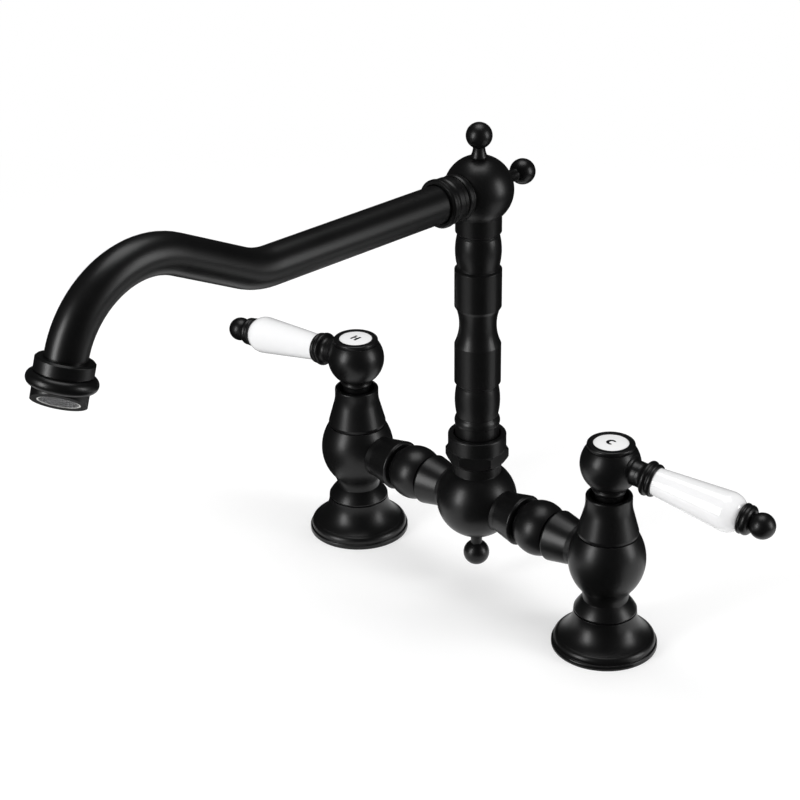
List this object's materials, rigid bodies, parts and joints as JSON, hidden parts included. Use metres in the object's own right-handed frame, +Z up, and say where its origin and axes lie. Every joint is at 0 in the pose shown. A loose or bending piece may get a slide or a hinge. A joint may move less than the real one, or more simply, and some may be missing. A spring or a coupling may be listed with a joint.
{
  "type": "bridge kitchen faucet",
  "caption": "Deck-mounted bridge mixer tap: two bell-based pillars with lever handles, a turned bridge and a swivelling swan-neck spout on a turned column.",
  "frame": {"origin": "on the worktop plane, midway between the two tap holes", "axes": "+Z up along the column, +X towards the cold pillar, the spout reaches out along -Y over the sink"},
  "size_m": [0.3654, 0.324, 0.2736],
  "materials": {
    "black_finish": "satin black powder coat on brass",
    "white_porcelain": "glossy white glaze",
    "white_enamel": "glossy white enamel",
    "valve_ceramic": "lapped",
    "brass": "turned",
    "steel": "plain stainless steel",
    "black_rubber": "matt",
    "white_acetal": "moulded"
  },
  "bodies": {
    "bridge": {"hot_base_flange": "black_finish", "hot_flange_gasket": "black_rubber", "hot_valve_body": "black_finish", "hot_bonnet_sleeve": "black_finish", "hot_seat_washer": "black_rubber", "hot_cartridge_body": "brass", "hot_fixed_disc": "valve_ceramic", "hot_bridge_arm": "black_finish", "cold_base_flange": "black_finish", "cold_flange_gasket": "black_rubber", "cold_valve_body": "black_finish", "cold_bonnet_sleeve": "black_finish", "cold_seat_washer": "black_rubber", "cold_cartridge_body": "brass", "cold_fixed_disc": "valve_ceramic", "cold_bridge_arm": "black_finish", "bridge_arm_seals": "black_rubber", "tee_body": "black_finish", "lower_finial": "black_finish", "union_nut": "black_finish", "glide_washer": "white_acetal"},
    "hot_handle": {"hot_turning_disc": "valve_ceramic", "hot_spindle": "brass", "hot_handle_hub": "black_finish", "hot_handle_screw": "steel", "hot_index_cap": "black_finish", "hot_index_button": "white_enamel", "hot_lever_collar": "black_finish", "hot_lever_rod": "steel", "hot_lever_grip": "white_porcelain", "hot_lever_ball": "black_finish"},
    "cold_handle": {"cold_turning_disc": "valve_ceramic", "cold_spindle": "brass", "cold_handle_hub": "black_finish", "cold_handle_screw": "steel", "cold_index_cap": "black_finish", "cold_index_button": "white_enamel", "cold_lever_collar": "black_finish", "cold_lever_rod": "steel", "cold_lever_grip": "white_porcelain", "cold_lever_ball": "black_finish"},
    "spout": {"spout_column": "black_finish", "column_seals": "black_rubber", "split_ring": "steel", "spout_elbow": "black_finish", "top_finial": "black_finish", "back_finial": "black_finish", "spout_socket": "black_finish", "spout_tube": "black_finish", "tip_collar": "black_finish", "aerator_washer": "black_rubber", "aerator_nozzle": "black_finish", "aerator_insert": "white_acetal", "aerator_screen": "steel"}
  },
  "joints": [
    {"name": "spout_swivel", "type": "hinge", "parent": "bridge", "child": "spout", "pos_m": [0, 0, 0.231], "axis": [0, 0, 1], "continuous": true},
    {"name": "hot_lever_turn", "type": "hinge", "parent": "bridge", "child": "hot_handle", "pos_m": [-0.09, 0, 0.1067], "axis": [0, 0, 1], "range_deg": [0, 90]},
    {"name": "cold_lever_turn", "type": "hinge", "parent": "bridge", "child": "cold_handle", "pos_m": [0.09, 0, 0.1067], "axis": [0, 0, 1], "range_deg": [-90, 0]}
  ]
}
